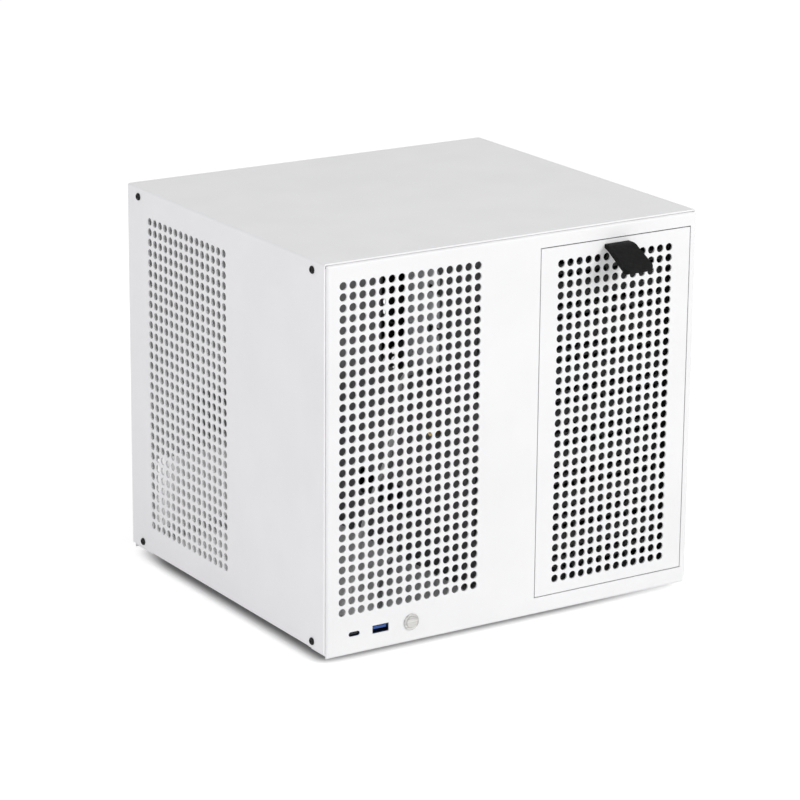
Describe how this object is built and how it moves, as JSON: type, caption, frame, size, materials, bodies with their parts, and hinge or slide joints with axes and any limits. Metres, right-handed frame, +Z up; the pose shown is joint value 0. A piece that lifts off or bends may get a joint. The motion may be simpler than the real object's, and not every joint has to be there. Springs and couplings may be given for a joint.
{
  "type": "network attached storage case",
  "caption": "White sheet-steel storage case with perforated front and side grilles, and a magnetic perforated door over a column of drive trays.",
  "frame": {"origin": "centre of the overall box's underside, in the plane that the feet stand on", "axes": "+Z up, -Y out of the front face, +X towards the door's side, seen from the front the right"},
  "size_m": [0.3232, 0.3226, 0.295],
  "materials": {
    "white_paint": "fine matte white powder coat",
    "galvanised": "zinc-plated sheet",
    "steel": "zinc-plated screws",
    "grey_paint": "fine matte dark grey powder coat",
    "port_shell": "black nickel plate",
    "black_screw": "black oxide",
    "tray_plastic": "matte black moulded plastic",
    "fan_plastic": "matte black moulded plastic",
    "black_plastic": "black connector plastic",
    "white_plastic": "natural white nylon",
    "rubber": "matte black rubber",
    "magnet": "nickel plate",
    "button_metal": "fine brushed, silver",
    "blue_plastic": "blue connector plastic",
    "board": "green solder mask on glass-fibre board",
    "brass": "plain brass",
    "cable_white": "light grey cable sheath",
    "cable_grey": "grey cable sheath"
  },
  "bodies": {
    "case": {"cover": "white_paint", "front_panel": "white_paint", "rear_panel": "white_paint", "base_pan": "white_paint", "board_tray": "grey_paint", "cage_left_wall": "galvanised", "cage_right_wall": "galvanised", "cage_top_plate": "galvanised", "slot_covers": "galvanised", "port_bracket": "galvanised", "backplane_screws": "steel", "slot_screws": "steel", "fan_screws": "steel", "power_switch_nut": "steel", "port_board_screws": "steel", "chassis_rivets": "steel", "base_screws": "steel", "foot_screws": "steel", "cover_screws": "black_screw", "usb_a_shell": "port_shell", "usb_c_shell": "port_shell", "upper_fan_frame": "fan_plastic", "lower_fan_frame": "fan_plastic", "backplane_connectors": "black_plastic", "backplane_data_ports": "black_plastic", "usb_c_tongue": "black_plastic", "cable_plugs": "black_plastic", "backplane_power_ports": "white_plastic", "rubber_feet": "rubber", "power_switch": "button_metal", "usb_a_tongue": "blue_plastic", "backplane": "board", "port_board": "board", "board_standoffs": "brass", "port_cable": "cable_white", "button_cable": "cable_grey"},
    "door": {"door_panel": "white_paint", "door_magnets": "magnet", "pull_tab": "rubber"},
    "button": {"power_button": "button_metal"},
    "upper_rotor": {"upper_fan_rotor": "fan_plastic"},
    "lower_rotor": {"lower_fan_rotor": "fan_plastic"},
    "tray_1": {"drive_tray_1": "tray_plastic"},
    "tray_2": {"drive_tray_2": "tray_plastic"},
    "tray_3": {"drive_tray_3": "tray_plastic"},
    "tray_4": {"drive_tray_4": "tray_plastic"},
    "tray_5": {"drive_tray_5": "tray_plastic"},
    "tray_6": {"drive_tray_6": "tray_plastic"},
    "tray_7": {"drive_tray_7": "tray_plastic"},
    "tray_8": {"drive_tray_8": "tray_plastic"}
  },
  "joints": [
    {"name": "door_slide", "type": "slide", "parent": "case", "child": "door", "axis": [0, -1, 0], "range_m": [0, 0.22]},
    {"name": "tray_1_slide", "type": "slide", "parent": "case", "child": "tray_1", "axis": [0, -1, 0], "range_m": [0, 0.132]},
    {"name": "tray_2_slide", "type": "slide", "parent": "case", "child": "tray_2", "axis": [0, -1, 0], "range_m": [0, 0.132]},
    {"name": "tray_3_slide", "type": "slide", "parent": "case", "child": "tray_3", "axis": [0, -1, 0], "range_m": [0, 0.132]},
    {"name": "tray_4_slide", "type": "slide", "parent": "case", "child": "tray_4", "axis": [0, -1, 0], "range_m": [0, 0.132]},
    {"name": "tray_5_slide", "type": "slide", "parent": "case", "child": "tray_5", "axis": [0, -1, 0], "range_m": [0, 0.132]},
    {"name": "tray_6_slide", "type": "slide", "parent": "case", "child": "tray_6", "axis": [0, -1, 0], "range_m": [0, 0.132]},
    {"name": "tray_7_slide", "type": "slide", "parent": "case", "child": "tray_7", "axis": [0, -1, 0], "range_m": [0, 0.132]},
    {"name": "tray_8_slide", "type": "slide", "parent": "case", "child": "tray_8", "axis": [0, -1, 0], "range_m": [0, 0.132]},
    {"name": "button_press", "type": "slide", "parent": "case", "child": "button", "axis": [0, 1, 0], "range_m": [0, 0.0015], "stiffness_N_per_m": 400},
    {"name": "upper_fan_spin", "type": "hinge", "parent": "case", "child": "upper_rotor", "pos_m": [0.087, 0.14669, 0.211], "axis": [0, 1, 0], "continuous": true},
    {"name": "lower_fan_spin", "type": "hinge", "parent": "case", "child": "lower_rotor", "pos_m": [0.087, 0.14669, 0.089], "axis": [0, 1, 0], "continuous": true}
  ],
  "couplings": [
    {"joint": "tray_1_slide", "follows": "door_slide", "ratio": 0.6},
    {"joint": "tray_2_slide", "follows": "door_slide", "ratio": 0.6},
    {"joint": "tray_3_slide", "follows": "door_slide", "ratio": 0.6},
    {"joint": "tray_4_slide", "follows": "door_slide", "ratio": 0.6},
    {"joint": "tray_5_slide", "follows": "door_slide", "ratio": 0.6},
    {"joint": "tray_6_slide", "follows": "door_slide", "ratio": 0.6},
    {"joint": "tray_7_slide", "follows": "door_slide", "ratio": 0.6},
    {"joint": "tray_8_slide", "follows": "door_slide", "ratio": 0.6}
  ]
}
